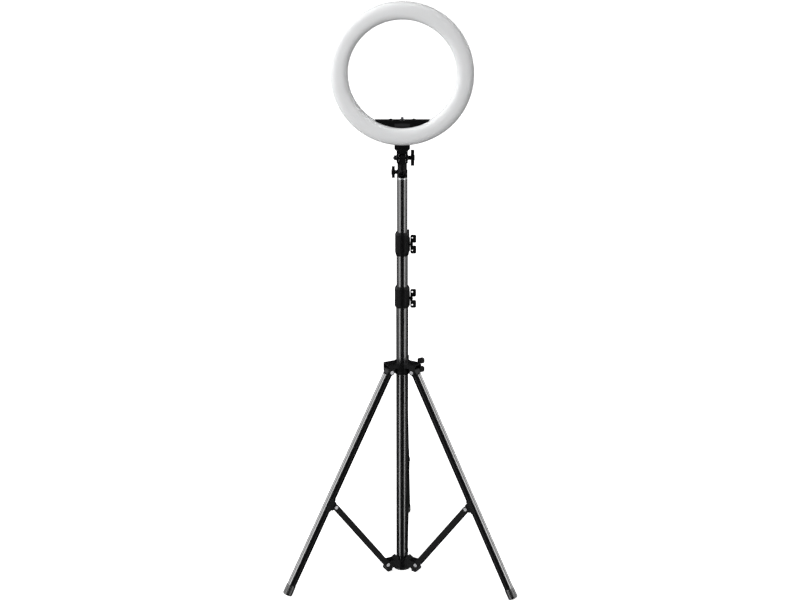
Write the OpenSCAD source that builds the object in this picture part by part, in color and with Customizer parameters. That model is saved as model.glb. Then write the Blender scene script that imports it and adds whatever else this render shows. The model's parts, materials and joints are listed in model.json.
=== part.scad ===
// Ring light on a three-section folding light stand.
// Millimetres, +Z up, floor at z = 0. The origin is on the column axis at the floor, and the light faces -Y.

/* [Ring] */
// Outer diameter of the light ring
ring_od = 330; // [324:1:336]
// Inner diameter of the light ring
ring_id = 249; // [246:1:251]
// Height of the ring's centre above the floor
ring_z = 1257; // [1250:1:1265]
// How far the diffuser's crown stands in front of the ring's mid plane
ring_front = 16; // [14:1:20]
// How far the housing stands behind the ring's mid plane
ring_back = 15; // [15:1:18]
// Wall thickness of the moulded diffuser
diffuser_wall = 2; // [1.6:0.1:2.4]
// Distance from the ring's centre down to the flat top of the control pocket
chord_drop = 107; // [105:1:107]
// Number of light chips in each row
chips_per_row = 64; // [32:8:96]

/* [Neck] */
// Distance from the bottom of the ring down to the tilt axis
neck_drop = 30; // [29:1:32]
// Width of the neck across both ears
neck_w = 26; // [25:0.5:28]
// Width of the slot between the ears
ear_gap = 16.2; // [15.5:0.1:16.6]
// Diameter of the light stand spigot
spigot_d = 16; // [15.8:0.1:16.1]
// Diameter of the socket's waist
waist_d = 22; // [21:0.1:22.6]

/* [Column] */
// Outside diameter of the lowest column tube
main_d = 29.4; // [29.3:0.1:30]
// Outside diameter of the middle column tube
mid_d = 27; // [26.8:0.1:27.1]
// Outside diameter of the top column tube
top_d = 24.6; // [24.2:0.1:24.6]
// Wall thickness of the column and leg tubes
tube_wall = 1; // [0.9:0.05:1]
// Height of the lower clamp's bottom edge
lower_clamp_z = 697; // [692:1:699]
// Length of the lower clamp
lower_clamp_h = 52; // [49:1:53]
// Height of the upper clamp's bottom edge
upper_clamp_z = 826; // [826:1:836]
// Length of the upper clamp
upper_clamp_h = 57; // [54:1:58]
// Height of the middle tube's lower end
mid_tube_z = 146; // [140:1:160]
// Height of the top tube's lower end
top_tube_z = 328; // [320:1:345]

/* [Legs] */
// Outside diameter of a leg tube
leg_d = 22; // [21:0.5:22]
// Angle between an open leg and the column
leg_angle = 27.9; // [27:0.1:28.5]
// Distance from the column axis to a leg hinge
hinge_r = 36; // [35:0.5:37]
// Height of the open leg hinges
hinge_z = 539; // [535:1:543]
// Distance along the leg from its hinge to the strut pivot
bracket_s = 358; // [354:1:362]
// Distance from the leg's axis in to the strut pivot
bracket_off = 17; // [17:0.5:18]
// Distance from the column axis to a strut's lower pivot
hub_pivot_r = 47; // [46:0.5:48]
// Height of the struts' lower pivots
hub_pivot_z = 24; // [22:0.5:26]
// Depth of the strut channel
strut_depth = 14; // [12:0.5:15]
// Compass angle of the first leg, which points away from the lit side
first_leg_angle = 88; // [80:1:96]

/* [Hidden] */
$fn = 64;

// Radial gaps: one for parts fixed together, one for parts that turn or slide, and one between tubes
seat_gap = 0.02;
run_gap = 0.06;

// Ring section
ring_r = ring_od / 2;
mid_r = (ring_od + ring_id) / 4;
half_band = (ring_od - ring_id) / 4;
crown_base = 2;
crown_power = 2.6;
crown_steps = 24;
lip_back = -9;
housing_wall = 2.5;
side_wall = 2.2;
housing_in_r = ring_id / 2 + diffuser_wall + 0.6;
housing_out_r = ring_r - diffuser_wall - 0.4;
housing_rim = -1;
board_t = 1.6;
chip_rows = [mid_r - 9, mid_r + 9];
post_r = 3.4;
post_angles = [for (k = [0:7]) 22.5 + 45 * k];

// Fasteners
screw_r = 1.4;
screw_head_r = 2.8;
screw_head_h = 1.8;
bolt_r = 3;
rivet_r = 2.5;

// Control pocket, in the ring's own plane: x across, y up from the ring's centre, z towards the lit side
pocket_r = ring_id / 2 - 0.7;
pocket_wall = 2;
pocket_front = 2.6;
pocket_mid_y = -(chord_drop + pocket_r) / 2 + 2;
control_knob_x = 27;
rocker_x = -8;
rocker_w = 11.2;
rocker_h = 7.6;
inlet_x = 12;
inlet_r = 4;
control_post_x = 38;
control_post_y = -(chord_drop + 5.6);
stud_f = -6;
stud_r = 3.175;

// Neck
ring_bottom_z = ring_z - ring_r;
tilt_z = ring_bottom_z - neck_drop;
ear_r = 13;
tongue_r = 11.5;
saddle_w = 36;
washer_t = 1;
tilt_knob_x = neck_w / 2 + washer_t + 0.1;
tab_t = 3.5;
tab_screw_x = 10;
tab_screw_y = -(ring_r - 19);
tab_top_z = ring_bottom_z + 32;

// Socket and spigot
socket_z = tilt_z - 46;
collar_h = 17;
spigot_top_z = socket_z + 29;
socket_knob_z = socket_z + 12;
thumbscrew_z = socket_z + 10;
ferrule_h = 4;
top_tube_top_z = socket_z - ferrule_h;

// Column
lower_seat_z = lower_clamp_z + 14;
upper_seat_z = upper_clamp_z + 12;
lower_knob_z = lower_clamp_z + 21;
upper_knob_z = upper_clamp_z + 27;
lower_clamp_r = 18;
upper_clamp_r = 17;
clamp_boss_x = 18.6;
wing_hub_h = 6;
wing_notch = 4.2;
clamp_boss_h = 32;
clamp_boss_w = 15;
upper_taper_h = 9;
lower_taper_h = 3;
clamp_pad_r = 4.5;
clamp_pad_t = 1.8;
nub_x = 14.6;
nub_h = 6;
main_tube_z = 8;
bush_h = 12;
bush_plug_h = 22;
bush_bore_r = 8;

// Tripod
leg_azimuths = [for (k = [0:2]) first_leg_angle + 120 * k];
leg_r = leg_d / 2;
foot_r = leg_r + 0.7;
foot_end_r = foot_r - 1.2;
leg_len = (hinge_z - foot_end_r * sin(leg_angle)) / cos(leg_angle);
leg_tube_s = 10.5;
bracket_r = hinge_r + bracket_s * sin(leg_angle) - bracket_off * cos(leg_angle);
bracket_z = hinge_z - bracket_s * cos(leg_angle) - bracket_off * sin(leg_angle);
strut_len = norm([bracket_r - hub_pivot_r, bracket_z - hub_pivot_z]);
strut_angle = atan2(bracket_z - hub_pivot_z, bracket_r - hub_pivot_r);
strut_wall = 1.2;
strut_in = leg_r + 0.7;
lug_half = strut_in - 0.4;
hub_rivet_r = 3;
band_h = 32;
hub_top_z = 28;
spider_z = 528;
spider_top_z = hinge_z + 19;
spider_r = 20;
arm_h = 11;
spider_ear_in = leg_r + 0.6;
spider_ear_t = 3.5;
spider_knob_angle = first_leg_angle - 60;
spider_knob_z = hinge_z;
spider_boss_end = 43;

// ---------- shared shapes ----------

// The ring's own plane: x across, y up, z towards the lit side, from the ring's centre
module in_ring() translate([0, 0, ring_z]) rotate([90, 0, 0]) children();

// A leg's plane: x out from the column, y across the leg, z up
module in_leg_plane(i) rotate(leg_azimuths[i - 1]) children();

// Along a leg: z from the hinge to the foot, x in towards the column
module along_leg(i)
    in_leg_plane(i) translate([hinge_r, 0, hinge_z]) rotate([0, 180 - leg_angle, 0]) children();

// Along a strut: z from the hub to the leg, x out of the open side of the channel
module along_strut(i)
    in_leg_plane(i) translate([hub_pivot_r, 0, hub_pivot_z]) rotate([0, 90 - strut_angle, 0]) children();

// Cylinder across a leg plane, centred on y = 0
module cross_cylinder(r, w) rotate([90, 0, 0]) cylinder(r = r, h = w, center = true);

// Cylinder along X from x0 to x1 at height z
module x_cylinder(r, x0, x1, z) translate([x0, 0, z]) rotate([0, 90, 0]) cylinder(r = r, h = x1 - x0);

module tube(d, z0, z1) difference() {
    translate([0, 0, z0]) cylinder(d = d, h = z1 - z0);
    translate([0, 0, z0 - 1]) cylinder(d = d - 2 * tube_wall, h = z1 - z0 + 2);
}

// Washer or collar shape: outer and inner radius, from z0 up
module ring_disc(r_out, r_in, z0, h) difference() {
    translate([0, 0, z0]) cylinder(r = r_out, h = h);
    translate([0, 0, z0 - 1]) cylinder(r = r_in, h = h + 2);
}

module rounded_rect(w, h, r) {
    square([w - 2 * r, h], center = true);
    square([w, h - 2 * r], center = true);
    for (sx = [-1, 1], sy = [-1, 1]) translate([sx * (w / 2 - r), sy * (h / 2 - r)]) circle(r = r);
}

// Pan head screw: the head's underside at z = 0, the shank going up +z
module pan_screw(shank) {
    translate([0, 0, -screw_head_h]) cylinder(r1 = screw_head_r - 0.5, r2 = screw_head_r, h = screw_head_h);
    cylinder(r = screw_r, h = shank);
}

// T knob: turning axis +z from its base, bar along x
module t_knob(bar_w, hub_h, bar_t, bore_r, bore_h) difference() {
    union() {
        cylinder(r = 5, h = hub_h + bar_t);
        translate([0, 0, hub_h]) linear_extrude(bar_t) rounded_rect(bar_w, 8, 3.9);
        translate([0, 0, hub_h - 0.5]) cylinder(r = 6, h = bar_t + 1.5);
    }
    translate([0, 0, -1]) cylinder(r = bore_r, h = bore_h + 1);
}

// Wing knob: turning axis +z from its base, one looped wing towards +x and one towards -x
module wing_knob(span, reach) difference() {
    union() {
        cylinder(r = 6.5, h = wing_hub_h);
        for (s = [-1, 1])
            translate([s * (span / 2 + wing_notch) / 2, 0, reach / 2 + 0.3]) rotate([90, 0, 0])
                linear_extrude(6, center = true) rounded_rect(span / 2 - wing_notch, reach - 0.6, 3.6);
    }
    for (s = [-1, 1]) translate([s * (span / 2 - 7), 0, 5]) cross_cylinder(2, 10);
    translate([0, 0, -1]) cylinder(r = bolt_r + seat_gap, h = wing_hub_h);
}

// ---------- light head ----------

function sign_pow(v, p) = sign(v) * pow(abs(v), p);

// Points over the crown of the ring's section, from its outer side to its inner side
function crown(half, rise) = [
    for (k = [0:crown_steps])
        let (t = 180 * k / crown_steps)
        [mid_r + half * sign_pow(cos(t), 2 / crown_power), crown_base + rise * pow(sin(t), 2 / crown_power)]
];

function reversed(points) = [for (k = [len(points) - 1:-1:0]) points[k]];

function diffuser_section() = concat(
    [[ring_r, lip_back]],
    crown(half_band, ring_front - crown_base),
    [[ring_id / 2, lip_back], [ring_id / 2 + diffuser_wall, lip_back]],
    reversed(crown(half_band - diffuser_wall, ring_front - crown_base - diffuser_wall)),
    [[ring_r - diffuser_wall, lip_back]]
);

module diffuser() color("whitesmoke") in_ring() difference() {
    union() {
        rotate_extrude($fn = 180) polygon(diffuser_section());
        for (a = post_angles)
            rotate(a) translate([mid_r, 0, -ring_back + housing_wall + 0.1])
                cylinder(r = post_r, h = ring_front + ring_back - housing_wall - diffuser_wall / 2);
    }
    for (a = post_angles) rotate(a)
        translate([mid_r, 0, -ring_back]) cylinder(r = screw_r + seat_gap, h = 12);
}

module led_board() color("white") in_ring() difference() {
    ring_disc(ring_r - diffuser_wall - 0.7, ring_id / 2 + diffuser_wall + 0.7, housing_rim, board_t);
    for (a = post_angles) rotate(a) translate([mid_r, 0, housing_rim - 1]) cylinder(r = post_r + 0.3, h = 4);
}

module led_chips() color("gold") in_ring()
    for (r = chip_rows, k = [0:chips_per_row - 1])
        rotate((k + 0.5) * 360 / chips_per_row) translate([r, 0, housing_rim + board_t + 0.45])
            cube([2.8, 3.5, 0.9], center = true);

function housing_section() = [
    [housing_out_r, housing_rim],
    [housing_out_r, -ring_back + 3.5],
    [housing_out_r - 1, -ring_back + 1],
    [housing_out_r - 3.5, -ring_back],
    [housing_in_r + 3.5, -ring_back],
    [housing_in_r + 1, -ring_back + 1],
    [housing_in_r, -ring_back + 3.5],
    [housing_in_r, housing_rim],
    [housing_in_r + side_wall, housing_rim],
    [housing_in_r + side_wall, -ring_back + housing_wall],
    [housing_out_r - side_wall, -ring_back + housing_wall],
    [housing_out_r - side_wall, housing_rim]
];

// The part of a disc that lies below the pocket's flat top
module pocket_slice(r, y_top, z0, h) intersection() {
    translate([0, 0, z0]) cylinder(r = r, h = h);
    translate([-ring_r, -ring_r, z0]) cube([ring_od, ring_r + y_top, h]);
}

module control_pocket() {
    pocket_slice(housing_in_r + 1, -chord_drop, -ring_back, housing_wall);
    difference() {
        pocket_slice(pocket_r, -chord_drop, -ring_back, ring_back + pocket_front);
        pocket_slice(pocket_r - pocket_wall, -chord_drop - pocket_wall, -ring_back + housing_wall, 20);
    }
}

module at_control_posts() for (s = [-1, 1]) translate([s * control_post_x, control_post_y, 0]) children();

module at_control_knobs() for (s = [-1, 1]) translate([s * control_knob_x, pocket_mid_y, 0]) children();

module rear_housing() color("dimgray") in_ring() difference() {
    union() {
        rotate_extrude($fn = 180) polygon(housing_section());
        control_pocket();
        for (s = [-1, 1])
            translate([s * tab_screw_x, tab_screw_y, -ring_back + 1]) cylinder(r = 3.4, h = 9);
    }
    for (a = post_angles) rotate(a) translate([mid_r, 0, -ring_back - 1]) cylinder(r = screw_r + 0.2, h = 5);
    for (s = [-1, 1])
        translate([s * tab_screw_x, tab_screw_y, -ring_back - 1]) cylinder(r = screw_r + seat_gap, h = 9);
    at_control_posts() translate([0, 0, -ring_back - 1]) cylinder(r = screw_r + 0.2, h = 5);
    at_control_knobs() translate([0, 0, -ring_back - 1]) cylinder(r = bolt_r + run_gap, h = 5);
    translate([rocker_x, pocket_mid_y, -ring_back]) cube([rocker_w + 1, rocker_h + 0.4, 8], center = true);
    translate([inlet_x, pocket_mid_y, -ring_back - 1]) cylinder(r = inlet_r + seat_gap, h = 5);
    translate([0, -ring_id / 2, -ring_back + housing_wall + 1.2]) cube([14, 16, 2.4], center = true);
    translate([0, -chord_drop - 4, stud_f]) rotate([-90, 0, 0]) cylinder(r = 3.2, h = 6);
}

module control_front() color("black") in_ring() difference() {
    union() {
        pocket_slice(pocket_r, -chord_drop, pocket_front, 3);
        difference() {
            pocket_slice(pocket_r - pocket_wall - 0.2, -chord_drop - pocket_wall - 0.2,
                pocket_front - 3, 3.5);
            pocket_slice(pocket_r - pocket_wall - 1.6, -chord_drop - pocket_wall - 1.6, pocket_front - 4, 4);
        }
        at_control_posts() translate([0, 0, -ring_back + housing_wall + 0.1])
            cylinder(r = 2.6, h = ring_back - housing_wall + pocket_front + 0.4);
    }
    at_control_posts() translate([0, 0, -ring_back]) cylinder(r = screw_r + seat_gap, h = 11);
    translate([0, -chord_drop - 10.2, pocket_front + 3]) cube([36, 7.6, 0.8], center = true);
}

module driver_board() color("darkgreen") in_ring() {
    translate([0, pocket_mid_y - 1, -5.6]) cube([56, 7, 1.6], center = true);
    at_control_knobs() translate([0, 0, -ring_back + housing_wall + 0.3]) cylinder(r = 4.2, h = 5.9);
    for (x = [-14, 0, 17]) translate([x, pocket_mid_y, -3.8]) cube([6, 5, 2.1], center = true);
    for (x = [-22, 24]) translate([x, pocket_mid_y, -4.9]) cylinder(r = 2.5, h = 3.6);
}

// Rotary knob with a shaft into the pocket, on the back of the ring
module rotary_knob(x) in_ring() translate([x, pocket_mid_y, 0]) difference() {
    union() {
        translate([0, 0, -ring_back - 10.4]) cylinder(r = 6, h = 10);
        translate([0, 0, -ring_back - 1]) cylinder(r = bolt_r, h = housing_wall + 1.2);
    }
    for (k = [0:11]) rotate(30 * k) translate([6.3, 0, -ring_back - 11]) cylinder(r = 0.7, h = 8.6);
    translate([0, 3, -ring_back - 10.4]) cube([0.9, 4, 1], center = true);
}

module brightness_knob() color("gray") rotary_knob(-control_knob_x);

module colour_knob() color("gray") rotary_knob(control_knob_x);

module power_rocker() color("black") in_ring() translate([rocker_x, pocket_mid_y, -ring_back + 1])
    rotate([0, -5, 0]) rotate([90, 0, 0]) linear_extrude(rocker_h, center = true)
        polygon([[-rocker_w / 2, 1.2], [rocker_w / 2, 1.2],
            [rocker_w / 2, -2.6], [0, -1.7], [-rocker_w / 2, -2.6]]);

module dc_inlet() color("silver") in_ring() translate([inlet_x, pocket_mid_y, -ring_back]) {
    difference() {
        union() {
            translate([0, 0, -1]) cylinder(r = inlet_r + 1, h = 1);
            cylinder(r = inlet_r, h = 8);
        }
        translate([0, 0, -2]) cylinder(r = 2.75, h = 9);
    }
    cylinder(r = 1.05, h = 7.5);
}

// Quarter inch accessory stud on top of the control pocket
module camera_stud() color("silver") in_ring() translate([0, -chord_drop, stud_f]) rotate([-90, 0, 0]) {
    cylinder(r = 5, h = 1.8);
    cylinder(r = stud_r, h = 5.7);
    translate([0, 0, 5.7]) cylinder(r1 = stud_r, r2 = stud_r - 0.8, h = 0.8);
    translate([0, 0, -pocket_wall]) cylinder(r = stud_r, h = 3);
    translate([0, 0, -pocket_wall - 1.5]) cylinder(r = 4.6, h = 1.5);
}

module case_screws() color("silver") in_ring() {
    for (a = post_angles) rotate(a) translate([mid_r, 0, -ring_back]) pan_screw(9);
    at_control_posts() translate([0, 0, -ring_back]) pan_screw(9);
    for (s = [-1, 1]) translate([s * tab_screw_x, tab_screw_y, -ring_back - tab_t]) pan_screw(9);
}

// ---------- neck ----------

module neck_bracket() color("black") difference() {
    union() {
        difference() {
            translate([0, ring_back + tab_t, tilt_z]) rotate([90, 0, 0])
                linear_extrude(ring_back + tab_t + 9)
                polygon([[-neck_w / 2, 12], [neck_w / 2, 12], [neck_w / 2, 18], [saddle_w / 2, 23],
                    [saddle_w / 2, neck_drop + 5], [-saddle_w / 2, neck_drop + 5],
                    [-saddle_w / 2, 23], [-neck_w / 2, 18]]);
            translate([0, ring_back, ring_z]) rotate([90, 0, 0])
                cylinder(r = ring_r + seat_gap, h = 60, $fn = 180);
        }
        x_cylinder(ear_r, -neck_w / 2, neck_w / 2, tilt_z);
        translate([-neck_w / 2, -ear_r, tilt_z]) cube([neck_w, 2 * ear_r, 22]);
        translate([0, ring_back + tab_t, (tab_top_z + tilt_z + 14) / 2]) rotate([90, 0, 0])
            linear_extrude(tab_t - seat_gap) rounded_rect(saddle_w, tab_top_z - tilt_z - 14, 5);
    }
    x_cylinder(ear_r + 0.8, -ear_gap / 2, ear_gap / 2, tilt_z);
    translate([-ear_gap / 2, -20, tilt_z - 20]) cube([ear_gap, 40, 20 + tongue_r + 0.7]);
    x_cylinder(bolt_r + run_gap, -20, 20, tilt_z);
    in_ring() for (s = [-1, 1])
        translate([s * tab_screw_x, tab_screw_y, -ring_back - 5]) cylinder(r = screw_r + 0.2, h = 6);
}

module tilt_washers() color("silver") for (s = [-1, 1])
    translate([s * (neck_w / 2 + washer_t / 2), 0, tilt_z]) rotate([0, 90, 0])
        translate([0, 0, -washer_t / 2]) ring_disc(6.5, bolt_r + 0.1, 0, washer_t);

module tilt_nut() color("silver")
    translate([-neck_w / 2 - washer_t, 0, tilt_z]) rotate([0, -90, 0]) difference() {
        cylinder(r = 5.77, h = 5, $fn = 6);
        translate([0, 0, -1]) cylinder(r = bolt_r + run_gap, h = 7);
    }

module tilt_bolt() color("silver") {
    x_cylinder(bolt_r, -neck_w / 2 - washer_t - 5.5, tilt_knob_x + 11.5, tilt_z);
    translate([-neck_w / 2 - washer_t - 5.5, 0, tilt_z]) rotate([0, -90, 0])
        cylinder(r1 = bolt_r, r2 = 1, h = 3);
}

module tilt_knob() color("black")
    translate([tilt_knob_x, 0, tilt_z]) rotate([0, 90, 0]) t_knob(38, 6, 8, bolt_r + seat_gap, 12);

module spigot_socket() color("black") difference() {
    union() {
        x_cylinder(tongue_r, -8, 8, tilt_z);
        translate([-8, -waist_d / 2, tilt_z - 14]) cube([16, waist_d, 14]);
        translate([0, 0, socket_z]) cylinder(d = waist_d, h = tilt_z - socket_z - ear_r - 0.5);
        translate([0, 0, socket_z]) cylinder(d = top_d, h = collar_h);
        translate([0, 0, socket_z + collar_h]) cylinder(d1 = top_d, d2 = waist_d, h = 2);
        x_cylinder(4.6, -15, -8.5, socket_knob_z);
        translate([0, 0, thumbscrew_z]) rotate([90, 0, 0]) translate([0, 0, 8.5]) cylinder(r = 4.6, h = 5.5);
    }
    translate([0, 0, socket_z - 1]) cylinder(d = spigot_d + 2 * run_gap, h = spigot_top_z - socket_z + 3);
    x_cylinder(bolt_r + run_gap, -20, 20, tilt_z);
    x_cylinder(bolt_r + run_gap, -20, -5, socket_knob_z);
    translate([0, 0, thumbscrew_z]) rotate([90, 0, 0]) cylinder(r = bolt_r + run_gap, h = 20);
}

module socket_screw() color("silver") x_cylinder(bolt_r, -21.5, -spigot_d / 2 - 0.2, socket_knob_z);

module socket_knob() color("black")
    translate([-15.3, 0, socket_knob_z]) rotate([0, -90, 0]) t_knob(28, 2, 7, bolt_r + seat_gap, 6.5);

module thumbscrew() color("black") translate([0, 0, thumbscrew_z]) rotate([90, 0, 0]) {
    translate([0, 0, spigot_d / 2 + 0.2]) cylinder(r = bolt_r, h = 8);
    translate([0, 0, 14.3]) cylinder(r = 5, h = 2);
    difference() {
        translate([0, 0, 16]) cylinder(r = 7.5, h = 9);
        for (k = [0:17]) rotate(20 * k) translate([7.8, 0, 15]) cylinder(r = 0.6, h = 11, $fn = 16);
    }
}

// ---------- column ----------

module top_spigot() color("silver") {
    translate([0, 0, top_tube_top_z - 22]) cylinder(r = top_d / 2 - tube_wall - seat_gap, h = 22.5);
    translate([0, 0, top_tube_top_z]) cylinder(d = top_d, h = ferrule_h - run_gap);
    translate([0, 0, top_tube_top_z]) cylinder(d = spigot_d, h = spigot_top_z - top_tube_top_z - 1);
    translate([0, 0, spigot_top_z - 1]) cylinder(d1 = spigot_d, d2 = spigot_d - 2, h = 1);
}

module top_tube() color("black") tube(top_d, top_tube_z, top_tube_top_z);

// Sliding bush plugged into a tube's lower end: tube's diameter, diameter it slides in, tube's end
module slide_bush(tube_d, guide_d, z) difference() {
    union() {
        translate([0, 0, z - bush_h]) cylinder(r = guide_d / 2 - run_gap, h = bush_h);
        translate([0, 0, z - 1]) cylinder(r = tube_d / 2 - tube_wall - seat_gap, h = bush_plug_h);
    }
    translate([0, 0, z - bush_h - 1]) cylinder(r = bush_bore_r, h = bush_h + bush_plug_h + 2);
}

module top_tube_bush() color("dimgray") slide_bush(top_d, mid_d - 2 * tube_wall, top_tube_z);

module mid_tube() color("black") tube(mid_d, mid_tube_z, upper_seat_z);

module mid_tube_bush() color("dimgray") slide_bush(mid_d, main_d - 2 * tube_wall, mid_tube_z);

// Clamp body: fixed on the tube below up to seat_z, guiding the tube that slides above it, with a boss at +X
module clamp_body(z0, h, r, taper_h, seat_z, fixed_d, slide_d, knob_z) difference() {
    union() {
        translate([0, 0, z0]) cylinder(r1 = fixed_d / 2 + 1.3, r2 = r, h = taper_h);
        translate([0, 0, z0 + taper_h]) cylinder(r = r, h = h - taper_h - 5);
        translate([0, 0, z0 + h - 5]) cylinder(r1 = r, r2 = slide_d / 2 + 2.4, h = 5);
        translate([0, 0, knob_z]) rotate([0, 90, 0])
            linear_extrude(clamp_boss_x) rounded_rect(clamp_boss_h, clamp_boss_w, 4);
    }
    translate([0, 0, z0 - 1]) cylinder(d = fixed_d + 2 * seat_gap, h = seat_z - z0 + 1);
    translate([0, 0, seat_z - 1]) cylinder(d = slide_d + 2 * run_gap, h = z0 + h - seat_z + 3);
    x_cylinder(clamp_pad_r + run_gap, 0, slide_d / 2 + clamp_pad_t + 0.2, knob_z);
    x_cylinder(bolt_r + run_gap, 0, clamp_boss_x + 5, knob_z);
}

// Pressure pad between the clamp screw and the sliding tube
module clamp_pad(slide_d, knob_z) difference() {
    x_cylinder(clamp_pad_r, slide_d / 4, slide_d / 2 + clamp_pad_t, knob_z);
    translate([0, 0, knob_z - 10]) cylinder(d = slide_d + 2 * run_gap, h = 20);
}

module clamp_screw(slide_d, knob_z)
    x_cylinder(bolt_r, slide_d / 2 + clamp_pad_t + 0.1, clamp_boss_x + wing_hub_h - 0.8, knob_z);

module clamp_knob(knob_z, turn)
    translate([clamp_boss_x + 0.3, 0, knob_z]) rotate([0, 90, 0]) rotate(turn) wing_knob(45, 14.4);

module upper_clamp() color("black") {
    clamp_body(upper_clamp_z, upper_clamp_h, upper_clamp_r, upper_taper_h,
        upper_seat_z, mid_d, top_d, upper_knob_z);
    difference() {
        translate([nub_x, 0, upper_clamp_z + upper_clamp_h - 6]) cylinder(r = 2.2, h = 6 + nub_h);
        translate([0, 0, upper_clamp_z]) cylinder(d = top_d + 2 * run_gap, h = 100);
    }
}

module upper_clamp_pad() color("tan") clamp_pad(top_d, upper_knob_z);

module upper_clamp_screw() color("silver") clamp_screw(top_d, upper_knob_z);

module upper_clamp_knob() color("black") clamp_knob(upper_knob_z, 0);

module lower_clamp() color("black")
    clamp_body(lower_clamp_z, lower_clamp_h, lower_clamp_r, lower_taper_h,
        lower_seat_z, main_d, mid_d, lower_knob_z);

module lower_clamp_pad() color("tan") clamp_pad(mid_d, lower_knob_z);

module lower_clamp_screw() color("silver") clamp_screw(mid_d, lower_knob_z);

module lower_clamp_knob() color("black") clamp_knob(lower_knob_z, -24);

module main_tube() color("black") tube(main_d, main_tube_z, lower_seat_z);

// ---------- foot of the column ----------

// One of the hub's three lugs, which the struts' walls straddle
module hub_lug() difference() {
    translate([0, lug_half, 0]) rotate([90, 0, 0]) linear_extrude(2 * lug_half) difference() {
        union() {
            polygon([[16, 6], [16, hub_top_z + 9], [26, 31], [hub_pivot_r, 31], [hub_pivot_r, 5], [41, 4]]);
            translate([hub_pivot_r, hub_pivot_z]) circle(r = 7);
            translate([hub_pivot_r - 3, 9.5]) circle(r = 6);
        }
        translate([29, 7]) circle(r = 5.5);
    }
    translate([hub_pivot_r, 0, hub_pivot_z]) cross_cylinder(hub_rivet_r + seat_gap, 60);
}

module base_hub() color("black") difference() {
    union() {
        translate([0, 0, 5]) cylinder(r = 20, h = hub_top_z - 6);
        translate([0, 0, hub_top_z - 1]) cylinder(r1 = 20, r2 = 19, h = 1);
        for (i = [1:3]) in_leg_plane(i) hub_lug();
    }
    translate([0, 0, main_tube_z]) cylinder(d = main_d + 2 * seat_gap, h = 40);
    translate([0, 0, -1]) cylinder(d = main_d - 2 * tube_wall + 0.2, h = 20);
}

module base_plug() color("black") {
    cylinder(r1 = 17.5, r2 = 18.5, h = 2);
    translate([0, 0, 2]) cylinder(r = 18.5, h = 3 - seat_gap);
    cylinder(d = main_d - 2 * tube_wall - 2 * seat_gap, h = 30);
}

// Solid rivet across a leg plane with a head at each side
module rivet(r, grip, head_r) {
    cross_cylinder(r, grip + 1);
    for (s = [-1, 1]) translate([0, s * (grip / 2 + 0.62), 0]) cross_cylinder(head_r, 1.2);
}

module hub_rivets() color("silver") for (i = [1:3])
    in_leg_plane(i) translate([hub_pivot_r, 0, hub_pivot_z])
        rivet(hub_rivet_r, 2 * (strut_in + strut_wall), 4.6);

// ---------- legs ----------

module spider_ear_outline() {
    translate([14, spider_top_z - arm_h]) square([hinge_r - 14, arm_h]);
    translate([hinge_r - 7.5, hinge_z]) square([15, spider_top_z - hinge_z]);
    translate([hinge_r, hinge_z]) circle(r = 7.5);
}

module spider_arm() {
    for (s = [-1, 1])
        translate([0, s * (spider_ear_in + spider_ear_t / 2) + spider_ear_t / 2, 0]) rotate([90, 0, 0])
            linear_extrude(spider_ear_t) spider_ear_outline();
    translate([14, -spider_ear_in - 1, spider_top_z - 3.5])
        cube([hinge_r - 14 + 7.5, 2 * spider_ear_in + 2, 3.5]);
}

module leg_spider() color("black") difference() {
    union() {
        translate([0, 0, spider_z]) cylinder(r1 = spider_r - 2, r2 = spider_r, h = 3);
        translate([0, 0, spider_z + 3]) cylinder(r = spider_r, h = spider_top_z - spider_z - 3);
        for (i = [1:3]) in_leg_plane(i) spider_arm();
        rotate(spider_knob_angle) x_cylinder(6.5, 0, spider_boss_end, spider_knob_z);
    }
    translate([0, 0, spider_z - 1]) cylinder(d = main_d + 2 * run_gap, h = 50);
    for (i = [1:3]) in_leg_plane(i) translate([hinge_r, 0, hinge_z]) cross_cylinder(rivet_r + seat_gap, 40);
    rotate(spider_knob_angle) x_cylinder(bolt_r + run_gap, 0, spider_boss_end + 5, spider_knob_z);
}

module spider_rivets() color("silver") for (i = [1:3])
    in_leg_plane(i) translate([hinge_r, 0, hinge_z]) rivet(rivet_r, 2 * (spider_ear_in + spider_ear_t), 4.5);

module spider_screw() color("silver") rotate(spider_knob_angle)
    x_cylinder(bolt_r, main_d / 2 + 0.2, spider_boss_end + wing_hub_h - 0.8, spider_knob_z);

module spider_knob() color("black") rotate(spider_knob_angle)
    translate([spider_boss_end + 0.3, 0, spider_knob_z]) rotate([0, 90, 0]) wing_knob(36, 17);

// Plug in the leg's upper end, with the eye that turns between the spider's ears
module leg_plug(i) color("black") along_leg(i) difference() {
    union() {
        cross_cylinder(7.5, 2 * spider_ear_in - 0.4);
        translate([-7.5, -9.5, 0]) cube([15, 19, 9]);
        translate([0, 0, 8]) cylinder(r = leg_r, h = leg_tube_s - 8);
        translate([0, 0, 8]) cylinder(r = leg_r - tube_wall - seat_gap, h = 26);
    }
    cross_cylinder(rivet_r + run_gap, 40);
}

module leg_tube(i) color("black") along_leg(i) tube(leg_d, leg_tube_s, leg_len - 3);

// Band round the leg's inner side, with the boss that the strut's upper end straddles
module leg_bracket(i) color("black") along_leg(i) translate([0, 0, bracket_s]) difference() {
    union() {
        intersection() {
            translate([0, 0, -band_h / 2]) cylinder(r = leg_r + 1.6, h = band_h);
            translate([-5, -lug_half, -band_h / 2]) cube([40, 2 * lug_half, band_h]);
        }
        translate([bracket_off, 0, 0]) cross_cylinder(5.5, 2 * lug_half);
        translate([0, lug_half, 0]) rotate([90, 0, 0]) linear_extrude(2 * lug_half)
            polygon([[6, -12], [12, -11], [bracket_off + 1, -5.2],
                [bracket_off + 1, 5.2], [12, 11], [6, 12]]);
    }
    translate([0, 0, -band_h]) cylinder(r = leg_r + seat_gap, h = 2 * band_h);
}

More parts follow.
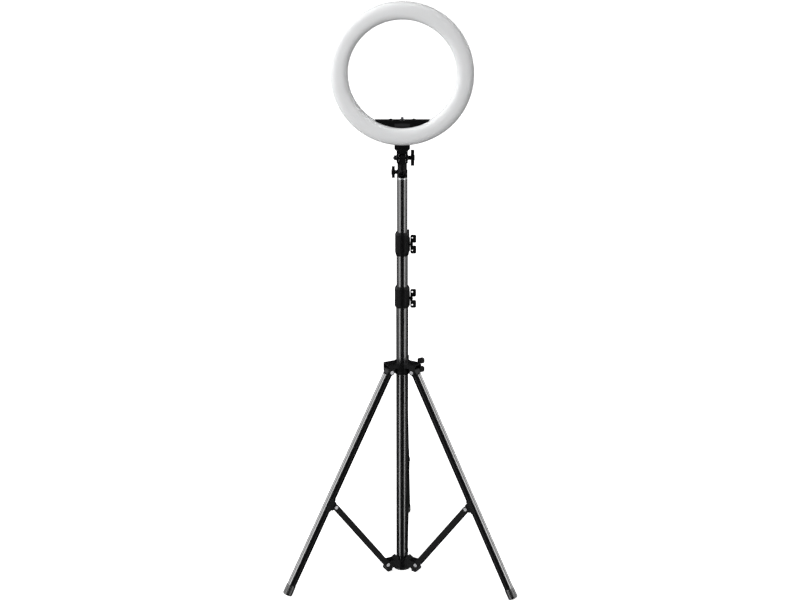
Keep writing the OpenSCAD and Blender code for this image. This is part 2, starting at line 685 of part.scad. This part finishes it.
module leg_foot(i) color("black") along_leg(i) difference() {
    union() {
        translate([0, 0, leg_len - 24]) cylinder(r = foot_r, h = 22.8);
        translate([0, 0, leg_len - 1.2]) cylinder(r1 = foot_r, r2 = foot_end_r, h = 1.2);
        translate([0, 0, leg_len - 26]) cylinder(r1 = leg_r + 0.2, r2 = foot_r, h = 2);
    }
    translate([0, 0, leg_len - 30]) cylinder(r = leg_r + seat_gap, h = 27);
}

// ---------- struts ----------

module strut_outline() {
    circle(d = strut_depth);
    translate([-strut_depth / 2, 0]) square([strut_depth, strut_len]);
    translate([0, strut_len]) circle(d = strut_depth);
}

// U channel that straddles the hub's lug and the leg's bracket, open towards the leg
module strut(i) color("black") along_strut(i) difference() {
    union() {
        for (s = [-1, 1])
            translate([0, s * (strut_in + strut_wall / 2) + strut_wall / 2, 0]) rotate([90, 0, 0])
                linear_extrude(strut_wall) strut_outline();
        translate([-strut_depth / 2, -strut_in - 0.1, 10])
            cube([strut_wall, 2 * strut_in + 0.2, strut_len - 44]);
    }
    cross_cylinder(hub_rivet_r + run_gap, 40);
    translate([0, 0, strut_len]) cross_cylinder(rivet_r + seat_gap, 40);
}

// Rivets in the strut's two walls, at its pivot on the leg
module strut_rivets(i) color("silver") along_strut(i) translate([0, 0, strut_len])
    for (s = [-1, 1]) {
        translate([0, s * (strut_in + strut_wall / 2 + 0.1), 0]) cross_cylinder(rivet_r, strut_wall + 0.2);
        translate([0, s * (strut_in + strut_wall + 0.62), 0]) cross_cylinder(4.5, 1.2);
    }

diffuser();
led_board();
led_chips();
rear_housing();
control_front();
driver_board();
brightness_knob();
colour_knob();
power_rocker();
dc_inlet();
camera_stud();
case_screws();
neck_bracket();
tilt_washers();
tilt_nut();
tilt_bolt();
tilt_knob();
spigot_socket();
socket_knob();
socket_screw();
thumbscrew();
top_spigot();
top_tube();
top_tube_bush();
upper_clamp();
upper_clamp_pad();
upper_clamp_screw();
upper_clamp_knob();
mid_tube();
mid_tube_bush();
lower_clamp();
lower_clamp_pad();
lower_clamp_screw();
lower_clamp_knob();
main_tube();
base_hub();
base_plug();
hub_rivets();
leg_spider();
spider_rivets();
spider_screw();
spider_knob();
for (i = [1:3]) {
    leg_plug(i);
    leg_tube(i);
    leg_bracket(i);
    leg_foot(i);
    strut(i);
    strut_rivets(i);
}
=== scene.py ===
# Ring light on its light stand: materials, details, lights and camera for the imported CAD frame. Metres, +Z up.
import json
import math

import bmesh
import bpy
from mathutils import Matrix, Vector


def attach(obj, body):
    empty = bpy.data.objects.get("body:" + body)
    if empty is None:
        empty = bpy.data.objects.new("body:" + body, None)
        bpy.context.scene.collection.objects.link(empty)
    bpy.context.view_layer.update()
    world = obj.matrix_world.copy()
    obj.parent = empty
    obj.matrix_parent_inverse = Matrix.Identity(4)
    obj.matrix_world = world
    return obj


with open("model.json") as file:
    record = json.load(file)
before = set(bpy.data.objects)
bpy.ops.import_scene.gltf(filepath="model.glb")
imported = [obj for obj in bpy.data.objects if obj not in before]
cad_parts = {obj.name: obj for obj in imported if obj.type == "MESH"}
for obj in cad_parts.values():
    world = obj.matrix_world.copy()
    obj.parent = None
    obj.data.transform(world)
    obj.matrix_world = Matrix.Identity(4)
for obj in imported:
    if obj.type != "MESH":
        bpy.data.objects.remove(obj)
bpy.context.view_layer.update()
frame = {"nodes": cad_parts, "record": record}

MM = 0.001
scene = bpy.context.scene


# ---------- material building blocks ----------

BLACK_SPECULAR = 0.035
# Painted shade on the legs' inner sides: the specular level falls from the tube's value to the low one as the
# surface turns towards the column, over the facing range on the next line.
TUBE_SPECULAR, PAINTED_SHADE_SPECULAR = 0.68, 0.03
PAINTED_SHADE_FROM, PAINTED_SHADE_TO = -0.62, -0.46


class Shader:
    """A Principled material with short calls for the nodes that its look is made of."""

    def __init__(self, name, base, roughness, metallic=0.0, specular=0.5):
        self.material = bpy.data.materials.new(name)
        self.material.use_nodes = True
        self.nodes = self.material.node_tree.nodes
        self.links = self.material.node_tree.links
        self.bsdf = next(n for n in self.nodes if n.type == "BSDF_PRINCIPLED")
        self.bsdf.inputs["Base Color"].default_value = (*base, 1)
        self.bsdf.inputs["Roughness"].default_value = roughness
        self.bsdf.inputs["Metallic"].default_value = metallic
        self.bsdf.inputs["Specular IOR Level"].default_value = specular
        self.coords = self.nodes.new("ShaderNodeTexCoord").outputs["Object"]
        self.last_normal = None

    def set(self, name, value):
        self.bsdf.inputs[name].default_value = value
        return self

    def feed(self, name, socket):
        self.links.new(socket, self.bsdf.inputs[name])
        return self

    def stretched(self, scale):
        mapping = self.nodes.new("ShaderNodeMapping")
        mapping.inputs["Scale"].default_value = scale
        self.links.new(self.coords, mapping.inputs["Vector"])
        return mapping.outputs["Vector"]

    def noise(self, scale, detail=3.0, stretch=None):
        node = self.nodes.new("ShaderNodeTexNoise")
        node.inputs["Scale"].default_value = scale
        node.inputs["Detail"].default_value = detail
        self.links.new(self.stretched(stretch) if stretch else self.coords, node.inputs["Vector"])
        return node.outputs["Fac"]

    def cells(self, scale):
        node = self.nodes.new("ShaderNodeTexVoronoi")
        node.inputs["Scale"].default_value = scale
        self.links.new(self.coords, node.inputs["Vector"])
        return node.outputs["Distance"]

    def remap(self, socket, low, high, to_low, to_high):
        node = self.nodes.new("ShaderNodeMapRange")
        for name, value in (("From Min", low), ("From Max", high), ("To Min", to_low), ("To Max", to_high)):
            node.inputs[name].default_value = value
        self.links.new(socket, node.inputs["Value"])
        return node.outputs["Result"]

    def mix(self, factor, first, second):
        node = self.nodes.new("ShaderNodeMix")
        node.data_type = "RGBA"
        self.links.new(factor, node.inputs[0])
        for value, socket in ((first, node.inputs[6]), (second, node.inputs[7])):
            if isinstance(value, bpy.types.NodeSocket):
                self.links.new(value, socket)
            else:
                socket.default_value = (*value, 1)
        return node.outputs[2]

    def product(self, first, second):
        node = self.nodes.new("ShaderNodeMath")
        node.operation = "MULTIPLY"
        self.links.new(first, node.inputs[0])
        self.links.new(second, node.inputs[1])
        return node.outputs[0]

    def edges(self, radius):
        """1 along the sharp edges, falling to 0 within radius of them."""
        bevel = self.nodes.new("ShaderNodeBevel")
        bevel.samples = 4
        bevel.inputs["Radius"].default_value = radius
        geometry = self.nodes.new("ShaderNodeNewGeometry")
        dot = self.nodes.new("ShaderNodeVectorMath")
        dot.operation = "DOT_PRODUCT"
        self.links.new(bevel.outputs["Normal"], dot.inputs[0])
        self.links.new(geometry.outputs["Normal"], dot.inputs[1])
        return self.remap(dot.outputs["Value"], 0.98, 0.80, 0.0, 1.0)

    def facing(self, direction):
        """1 where the surface faces that way in the object's own frame, -1 where it faces away."""
        dot = self.nodes.new("ShaderNodeVectorMath")
        dot.operation = "DOT_PRODUCT"
        self.links.new(self.nodes.new("ShaderNodeTexCoord").outputs["Normal"], dot.inputs[0])
        dot.inputs[1].default_value = direction
        return dot.outputs["Value"]

    def bump(self, height, strength, distance):
        node = self.nodes.new("ShaderNodeBump")
        node.inputs["Strength"].default_value = strength
        node.inputs["Distance"].default_value = distance
        self.links.new(height, node.inputs["Height"])
        if self.last_normal:
            self.links.new(self.last_normal, node.inputs["Normal"])
        self.last_normal = node.outputs["Normal"]
        return self.feed("Normal", self.last_normal)


def moulded_plastic(name, base, roughness, grain=1400.0, wear=0.10):
    """Textured black moulding: fine grain, slow tone changes, and edges rubbed a little lighter."""
    s = Shader(name, base, roughness, specular=BLACK_SPECULAR)
    rubbed = tuple(c * 1.6 + wear * 0.06 for c in base)
    tone = s.mix(s.noise(18, 2), tuple(c * 0.8 for c in base), tuple(c * 1.15 for c in base))
    s.feed("Base Color", s.mix(s.product(s.edges(0.7 * MM), s.noise(260, 4)), tone, rubbed))
    s.feed("Roughness", s.remap(s.noise(60, 3), 0.3, 0.7, roughness - 0.06, roughness + 0.08))
    s.bump(s.cells(grain), 0.10, 0.15 * MM)
    s.bump(s.noise(grain * 0.4, 4), 0.12, 0.2 * MM)
    return s.material


def anodised_tube(name, base, roughness, painted_shade_side=None):
    """Drawn tube under black anodising: faint lines along it, an even sheen, and, where a side is given, painted
    shade there: the reflection is turned down on that side.
    """
    s = Shader(name, base, roughness, metallic=0.0, specular=0.75)
    s.feed("Base Color", s.mix(s.noise(30, 3), tuple(c * 0.75 for c in base), tuple(c * 1.3 for c in base)))
    draw_lines = s.noise(900, 2, (1, 1, 0.01))
    s.feed("Roughness", s.remap(s.noise(14, 4), 0.3, 0.7, roughness - 0.03, roughness + 0.04))
    # Painted shade: the reflection is turned down on the given side, standing in for light that doesn't fall
    # there.
    if painted_shade_side:
        s.feed("Specular IOR Level", s.remap(s.facing(painted_shade_side), PAINTED_SHADE_FROM, PAINTED_SHADE_TO,
                                              TUBE_SPECULAR, PAINTED_SHADE_SPECULAR))
    s.bump(draw_lines, 0.02, 0.02 * MM)
    return s.material


def painted_metal(name, base, roughness):
    """Satin powder coat: orange peel, and thin spots on the edges."""
    s = Shader(name, base, roughness, specular=BLACK_SPECULAR)
    thin = tuple(min(1.0, c * 2.2 + 0.008) for c in base)
    s.feed("Base Color", s.mix(s.product(s.edges(0.5 * MM), s.noise(320, 4)), base, thin))
    s.feed("Roughness", s.remap(s.noise(45, 3), 0.3, 0.7, roughness - 0.05, roughness + 0.07))
    s.bump(s.noise(620, 2), 0.14, 0.12 * MM)
    return s.material


def plain_steel(name, base, roughness):
    """Zinc-plated or turned metal: fine turning marks and a slightly uneven tone."""
    s = Shader(name, base, roughness, metallic=1.0)
    dull = tuple(c * 0.72 for c in base)
    s.feed("Base Color", s.mix(s.noise(240, 4), dull, base))
    s.feed("Roughness", s.remap(s.noise(500, 3), 0.3, 0.7, roughness - 0.08, roughness + 0.10))
    s.bump(s.noise(1800, 2), 0.08, 0.05 * MM)
    return s.material


def opal_acrylic():
    """Milky diffuser: light goes a few millimetres in, under a satin skin."""
    s = Shader("opal_acrylic", (0.80, 0.805, 0.81), 0.5, specular=0.22)
    s.feed("Base Color", s.mix(s.noise(9, 2), (0.78, 0.785, 0.79), (0.82, 0.825, 0.83)))
    s.feed("Roughness", s.remap(s.noise(30, 3), 0.3, 0.7, 0.46, 0.56))
    s.bump(s.noise(900, 2), 0.03, 0.05 * MM)
    s.set("Subsurface Weight", 0.25).set("Subsurface Scale", 4 * MM)
    s.set("Subsurface Radius", (1.0, 0.95, 0.9))
    return s.material


def rubber():
    """Dipped black vinyl: a soft sheen with a trace of dust."""
    s = Shader("rubber", (0.006, 0.006, 0.006), 0.34, specular=0.4)
    dust = s.remap(s.noise(140, 5), 0.45, 0.75, 0, 1)
    s.feed("Base Color", s.mix(dust, (0.005, 0.005, 0.005), (0.014, 0.014, 0.0135)))
    s.feed("Roughness", s.remap(s.noise(200, 3), 0.3, 0.7, 0.28, 0.42))
    s.bump(s.noise(1300, 4), 0.06, 0.05 * MM)
    return s.material


def circuit_board(name, base):
    """Solder mask with faint copper under it."""
    s = Shader(name, base, 0.4)
    s.feed("Base Color", s.mix(s.noise(300, 2), base, tuple(c * 0.85 for c in base)))
    s.bump(s.cells(350), 0.1, 0.05 * MM)
    return s.material


def phosphor():
    s = Shader("phosphor", (0.93, 0.80, 0.32), 0.5)
    s.feed("Base Color", s.mix(s.noise(1500, 2), (0.93, 0.80, 0.32), (0.85, 0.66, 0.2)))
    s.bump(s.noise(2500, 2), 0.1, 0.05 * MM)
    return s.material


TUBE_BLACK, TUBE_ROUGHNESS = (0.006, 0.006, 0.0065), 0.22

MATERIALS = {
    "diffuser_acrylic": opal_acrylic(),
    "board_white": circuit_board("board_white", (0.86, 0.86, 0.85)),
    "led_phosphor": phosphor(),
    "housing_black": moulded_plastic("housing_plastic", (0.0045, 0.0045, 0.0047), 0.40),
    "board_green": circuit_board("board_green", (0.04, 0.18, 0.08)),
    "knob_black": moulded_plastic("knob_plastic", (0.004, 0.004, 0.0042), 0.36, 1100),
    "steel_plain": plain_steel("turned_steel", (0.24, 0.245, 0.25), 0.42),
    "stud_black": plain_steel("black_zinc", (0.05, 0.05, 0.055), 0.36),
    "screw_steel": plain_steel("screw_steel", (0.12, 0.12, 0.125), 0.34),
    "casting_black": painted_metal("cast_paint", (0.0045, 0.0045, 0.0048), 0.38),
    "thumbscrew_metal": plain_steel("dark_alloy", (0.03, 0.03, 0.032), 0.34),
    "tube_black": anodised_tube("anodised_tube", TUBE_BLACK, TUBE_ROUGHNESS),
    "bush_grey": moulded_plastic("bush_nylon", (0.12, 0.12, 0.125), 0.5),
    "clamp_black": moulded_plastic("clamp_nylon", (0.0042, 0.0042, 0.0044), 0.42, 900),
    "pad_brass": plain_steel("pad_brass", (0.62, 0.45, 0.18), 0.35),
    "rubber_black": rubber(),
    "rivet_steel": plain_steel("rivet_steel", (0.16, 0.16, 0.165), 0.4),
    "strut_black": painted_metal("strut_paint", (0.0045, 0.0045, 0.0047), 0.40),
}
LEG_AZIMUTHS = (88, 208, 328)
LEG_ANGLE = 27.9
SLOT_OF = {part["node"]: part["material_slot"] for part in frame["record"]["subparts"]}
BEVEL = 0.35 * MM
BEVEL_ANGLE = math.radians(38)
PIECE_BEVEL = 0.12 * MM
NO_BEVEL = ("led_chips", "led_board", "driver_board", "diffuser")


def leg_material_with_painted_shade(number):
    """The tubes' anodised finish, with painted shade on the side that faces the column: the reflection is turned
    down there.
    """
    azimuth, lean = math.radians(LEG_AZIMUTHS[number - 1]), math.radians(LEG_ANGLE)
    inward = (-math.cos(lean) * math.cos(azimuth), -math.cos(lean) * math.sin(azimuth), -math.sin(lean))
    return anodised_tube(f"leg_tube_{number}_finish", TUBE_BLACK, TUBE_ROUGHNESS, inward)


def dress_cad_nodes():
    """Gives every CAD node its material and smooth shading, and rounds its edges a little."""
    # Leg materials with painted shade on the sides that face the column.
    finish_and_painted_shade = {f"leg_tube_{number}": leg_material_with_painted_shade(number) for number in (1, 2, 3)}
    for name, node in frame["nodes"].items():
        node.data.materials.clear()
        node.data.materials.append(finish_and_painted_shade.get(name, MATERIALS[SLOT_OF[name]]))
        node.data.polygons.foreach_set("use_smooth", [True] * len(node.data.polygons))
        if name not in NO_BEVEL:
            bevel = node.modifiers.new("edge_round", "BEVEL")
            bevel.width = BEVEL
            bevel.segments = 2
            bevel.limit_method = "ANGLE"
            bevel.angle_limit = BEVEL_ANGLE
            bevel.harden_normals = False
        node.modifiers.new("weighted_normals", "WEIGHTED_NORMAL").keep_sharp = True


# ---------- small parts that only the eye needs ----------

def piece(name, mesh_edit, material, body, place):
    """A separate piece riding on body: mesh_edit fills a bmesh in millimetres, place puts it in the row frame."""
    bm = bmesh.new()
    mesh_edit(bm)
    bmesh.ops.scale(bm, vec=(MM, MM, MM), verts=bm.verts)
    bmesh.ops.recalc_face_normals(bm, faces=bm.faces)
    mesh = bpy.data.meshes.new(name)
    bm.to_mesh(mesh)
    bm.free()
    mesh.polygons.foreach_set("use_smooth", [True] * len(mesh.polygons))
    mesh.materials.append(material)
    obj = bpy.data.objects.new(name, mesh)
    obj.matrix_world = place
    scene.collection.objects.link(obj)
    bevel = obj.modifiers.new("edge_round", "BEVEL")
    bevel.width, bevel.segments, bevel.limit_method = PIECE_BEVEL, 2, "ANGLE"
    obj.modifiers.new("shade", "WEIGHTED_NORMAL")
    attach(obj, body)
    return obj


def slab(width, length, depth, corner):
    """Plate with round corners: width along x, length along y, from z = 0 up to depth."""
    def edit(bm):
        outline = []
        for sx, sy, start in ((1, 1, 0), (-1, 1, 90), (-1, -1, 180), (1, -1, 270)):
            for step in range(7):
                angle = math.radians(start + 15 * step)
                outline.append((sx * (width / 2 - corner) + corner * math.cos(angle),
                                sy * (length / 2 - corner) + corner * math.sin(angle), 0))
        face = bm.faces.new([bm.verts.new(point) for point in outline])
        top = bmesh.ops.extrude_face_region(bm, geom=[face])["geom"]
        bmesh.ops.translate(bm, vec=(0, 0, depth),
                            verts=[v for v in top if isinstance(v, bmesh.types.BMVert)])
    return edit


def lathe(profile, segments=48):
    """Closed ring turned round z from (radius, height) points."""
    def edit(bm):
        rings = []
        for step in range(segments):
            angle = 2 * math.pi * step / segments
            rings.append([bm.verts.new((r * math.cos(angle), r * math.sin(angle), h)) for r, h in profile])
        for a, b in zip(rings, rings[1:] + rings[:1]):
            for k in range(len(profile)):
                j = (k + 1) % len(profile)
                bm.faces.new((a[k], b[k], b[j], a[j]))
    return edit


def slotted_cap(radius, height, slot_width, slot_depth):
    """Round screw end with a driver slot across it, between two thin lips."""
    def edit(bm):
        def level(z, shrink):
            return [bm.verts.new((shrink * radius * math.cos(t), shrink * radius * math.sin(t), z))
                    for t in (2 * math.pi * k / 40 for k in range(40))]
        rings = [level(0, 1), level(height - 0.3, 1), level(height, 0.88)]
        for low, high in zip(rings, rings[1:]):
            for k in range(40):
                bm.faces.new((low[k], low[(k + 1) % 40], high[(k + 1) % 40], high[k]))
        bm.faces.new(rings[0])
        bm.faces.new(rings[-1])
        half, reach = slot_width / 2, radius * 0.8
        for y in (-half, half):
            wall = [bm.verts.new(v) for v in ((-reach, y - 0.1, height), (reach, y - 0.1, height),
                                              (reach, y + 0.1, height), (-reach, y + 0.1, height))]
            face = bm.faces.new(wall)
            lip = bmesh.ops.extrude_face_region(bm, geom=[face])["geom"]
            bmesh.ops.translate(bm, vec=(0, 0, slot_depth),
                                verts=[v for v in lip if isinstance(v, bmesh.types.BMVert)])
    return edit


# Millimetres, in the ring's own plane, along the stand, and along a leg or strut
LIGHTER_PATCH_PLACE = (0, -117.2, 5.21)
POINTER_PLACE = (27, -110.45, -25.35)
CLAMP_KNOB_FACE, UPPER_KNOB_Z, LOWER_KNOB_Z = 24.7, 853, 718
SPIDER_KNOB_FACE, SPIDER_KNOB_Z, SPIDER_KNOB_ANGLE = 49.1, 539, 28
FOOT_LENGTH, RIB_START, RIB_STEP, RIBS = 24, 4, 4.2, 4
BEAD_SHORTER, BEAD_OFF_CENTRE = 80, 12
RING_PLANE = Matrix.Translation((0, 0, 1.257)) @ Matrix.Rotation(math.radians(90), 4, "X")
HINGE = (36, 539)
FOOT_R, FOOT_CHAMFER = 11.7, 1.2
HUB_PIVOT, BRACKET_PIVOT = (47, 24), (188.5, 214.6)
STRUT_HALF_DEPTH = 7


def at(x, y, z):
    return Matrix.Translation((x * MM, y * MM, z * MM))


def details():
    """A slightly lighter charcoal patch on the pocket, knob pointers, screw ends in the wing knobs, ribs on the
    feet and beads on the struts.
    """
    charcoal = moulded_plastic("lighter_charcoal_patch", (0.022, 0.022, 0.023), 0.5, 1600)
    pointer = moulded_plastic("pointer_paint", (0.62, 0.62, 0.60), 0.5, 2000)
    rubber_skin, steel, paint = MATERIALS["rubber_black"], MATERIALS["screw_steel"], MATERIALS["strut_black"]
    # A thin slab of slightly lighter charcoal plastic laid on the front of the pocket, lighter there than the
    # pocket round it.
    piece("lighter_pocket_patch", slab(35.4, 7.0, 0.36, 1.0), charcoal, "head",
          RING_PLANE @ at(*LIGHTER_PATCH_PLACE))
    for name, side in (("brightness_knob", -1), ("colour_knob", 1)):
        piece(f"{name}_pointer", slab(0.8, 3.7, 0.4, 0.3), pointer, name,
              RING_PLANE @ at(side * POINTER_PLACE[0], *POINTER_PLACE[1:]))

    # Screw ends in the outer faces of the wing knobs
    turned = Matrix.Rotation(math.radians(90), 4, "Y")
    spider_turn = Matrix.Rotation(math.radians(SPIDER_KNOB_ANGLE), 4, "Z")
    for body, place in (("upper_clamp_knob", at(CLAMP_KNOB_FACE, 0, UPPER_KNOB_Z) @ turned),
                        ("lower_clamp_knob", at(CLAMP_KNOB_FACE, 0, LOWER_KNOB_Z) @ turned),
                        ("spider_knob", spider_turn @ at(SPIDER_KNOB_FACE, 0, SPIDER_KNOB_Z) @ turned)):
        piece(f"{body}_screw_end", slotted_cap(2.6, 0.9, 1.1, 0.35), steel, body, place)

    for number, azimuth in enumerate(LEG_AZIMUTHS, 1):
        leg_plane = Matrix.Rotation(math.radians(azimuth), 4, "Z")
        along_leg = (leg_plane @ at(HINGE[0], 0, HINGE[1])
                     @ Matrix.Rotation(math.radians(180 - LEG_ANGLE), 4, "Y"))
        for rib in range(RIBS):
            z = leg_length() - FOOT_LENGTH + RIB_START + RIB_STEP * rib
            root, crest = FOOT_R - 0.2, FOOT_R + 0.45
            profile = ((root, z), (crest, z + 0.35), (crest, z + 1.25), (root, z + 1.6))
            piece(f"foot_rib_{number}_{rib + 1}", lathe(profile), rubber_skin,
                  f"leg_{number}", along_leg)
        run, rise = BRACKET_PIVOT[0] - HUB_PIVOT[0], BRACKET_PIVOT[1] - HUB_PIVOT[1]
        length = math.hypot(run, rise)
        along_strut = (leg_plane @ at(HUB_PIVOT[0], 0, HUB_PIVOT[1])
                       @ Matrix.Rotation(math.pi / 2 - math.atan2(rise, run), 4, "Y"))
        bead_place = (along_strut @ at(-STRUT_HALF_DEPTH, 0, length / 2 - BEAD_OFF_CENTRE)
                      @ Matrix.Rotation(math.radians(-90), 4, "Y"))
        piece(f"strut_bead_{number}", slab(length - BEAD_SHORTER, 9, 0.7, 4.4), paint,
              f"strut_{number}", bead_place)


def leg_length():
    """Distance from a leg's hinge to the end of its foot, in millimetres."""
    lean = math.radians(LEG_ANGLE)
    return (HINGE[1] - (FOOT_R - FOOT_CHAMFER) * math.sin(lean)) / math.cos(lean)


# ---------- stage, lights and camera ----------

def world_light():
    """White surround for the camera, and a dim studio with tall soft banks for everything that it lights."""
    world = bpy.data.worlds.new("studio")
    scene.world = world
    world.use_nodes = True
    nodes, links = world.node_tree.nodes, world.node_tree.links
    nodes.clear()

    def math_node(operation, first, second=None, third=None):
        node = nodes.new("ShaderNodeMath")
        node.operation = operation
        for index, value in enumerate((first, second, third)):
            if isinstance(value, bpy.types.NodeSocket):
                links.new(value, node.inputs[index])
            elif value is not None:
                node.inputs[index].default_value = value
        return node.outputs[0]

    direction = nodes.new("ShaderNodeSeparateXYZ")
    links.new(nodes.new("ShaderNodeTexCoord").outputs["Generated"], direction.inputs[0])
    x, y, height = direction.outputs[0], direction.outputs[1], direction.outputs[2]
    azimuth = math_node("ARCTAN2", x, math_node("MULTIPLY", y, -1))

    def fade(value, start, end, first, last):
        node = nodes.new("ShaderNodeMapRange")
        node.interpolation_type = "SMOOTHSTEP"
        links.new(value, node.inputs["Value"])
        for name, limit in (("From Min", start), ("From Max", end), ("To Min", first), ("To Max", last)):
            node.inputs[name].default_value = limit
        return node.outputs["Result"]

    def bank(centre, half, soft, low, high, start=-0.12, end=0.12):
        """Soft light bank at that angle from the front, in degrees: low strength under start, high over end."""
        centre, half, soft = (math.radians(v) for v in (centre, half, soft))
        away = math_node("ABSOLUTE", math_node("SUBTRACT", azimuth, centre))
        away = math_node("MINIMUM", away, math_node("SUBTRACT", 2 * math.pi, away))
        return math_node("MULTIPLY", fade(away, half - soft, half + soft, 1, 0),
                         fade(height, start, end, low, high))

    banks = DARK_STUDIO
    for entry in BANKS:
        banks = math_node("ADD", bank(*entry), banks)
    fill = fade(height, -1, 1, *SOFT_FILL)
    path = nodes.new("ShaderNodeLightPath")

    def background(strength):
        node = nodes.new("ShaderNodeBackground")
        if isinstance(strength, bpy.types.NodeSocket):
            links.new(strength, node.inputs["Strength"])
        else:
            node.inputs["Strength"].default_value = strength
        return node.outputs[0]

    def choose(ray, otherwise, shader):
        node = nodes.new("ShaderNodeMixShader")
        links.new(path.outputs[ray], node.inputs[0])
        links.new(otherwise, node.inputs[1])
        links.new(shader, node.inputs[2])
        return node.outputs[0]

    lit = choose("Is Glossy Ray", background(fill), background(banks))
    seen = choose("Is Camera Ray", lit, background(WHITE_SURROUND))
    links.new(seen, nodes.new("ShaderNodeOutputWorld").inputs["Surface"])


# Angle from the front, half width and softness in degrees, strengths low and high up, and the heights between
# which one fades to the other where they aren't the usual ones
BANKS = (
    (-51, 10, 6, 9, 18),
    (51, 10, 6, 8, 18),
    (-112, 11, 6, 0, 12),
    (112, 11, 6, 0, 12),
    (-86, 24, 10, 0, 4.2, -0.32, -0.24),
    (86, 24, 10, 0, 3.0, -0.32, -0.24),
)
DARK_STUDIO = 0.015
SOFT_FILL = (0.40, 0.64)
WHITE_SURROUND = 1.3
FLOOR_HALF, FLOOR_GLOW = 40.0, 0.88


def area_light(name, place, target, width, height, power):
    data = bpy.data.lights.new(name, "AREA")
    data.shape = "RECTANGLE"
    data.size, data.size_y, data.energy = width, height, power
    lamp = bpy.data.objects.new(name, data)
    lamp.location = place
    lamp.rotation_euler = (Vector(target) - Vector(place)).to_track_quat("-Z", "Y").to_euler()
    lamp.visible_camera = False
    lamp.visible_glossy = False
    scene.collection.objects.link(lamp)


def floor():
    """Plain pale floor, bright enough to run into the white surround."""
    mesh = bpy.data.meshes.new("floor")
    corners = [(x * FLOOR_HALF, y * FLOOR_HALF, 0) for x, y in ((-1, -1), (1, -1), (1, 1), (-1, 1))]
    mesh.from_pydata(corners, [], [(0, 1, 2, 3)])
    plane = bpy.data.objects.new("floor", mesh)
    scene.collection.objects.link(plane)
    s = Shader("pale_floor", (0.92, 0.92, 0.92), 0.9, specular=0.0)
    s.set("Emission Color", (1, 1, 1, 1)).set("Emission Strength", FLOOR_GLOW)
    mesh.materials.append(s.material)
    plane.visible_glossy = plane.visible_diffuse = False


CAMERA_PLACE = (0, -3.5, 1.851)
CAMERA_PITCH = 18.0
FOCAL_LENGTH = 69.15
COLUMN_SHIFT = -0.0034


def camera():
    data = bpy.data.cameras.new("camera")
    data.lens, data.sensor_width, data.shift_x = FOCAL_LENGTH, 36.0, COLUMN_SHIFT
    view = bpy.data.objects.new("camera", data)
    view.location = CAMERA_PLACE
    view.rotation_euler = (math.radians(90 - CAMERA_PITCH), 0, 0)
    scene.collection.objects.link(view)
    scene.camera = view


dress_cad_nodes()
details()
world_light()
floor()
area_light("left_key", (-3.2, -2.1, 2.9), (0, 0, 1.1), 1.4, 1.8, 150)
camera()
scene.view_settings.view_transform = "Standard"
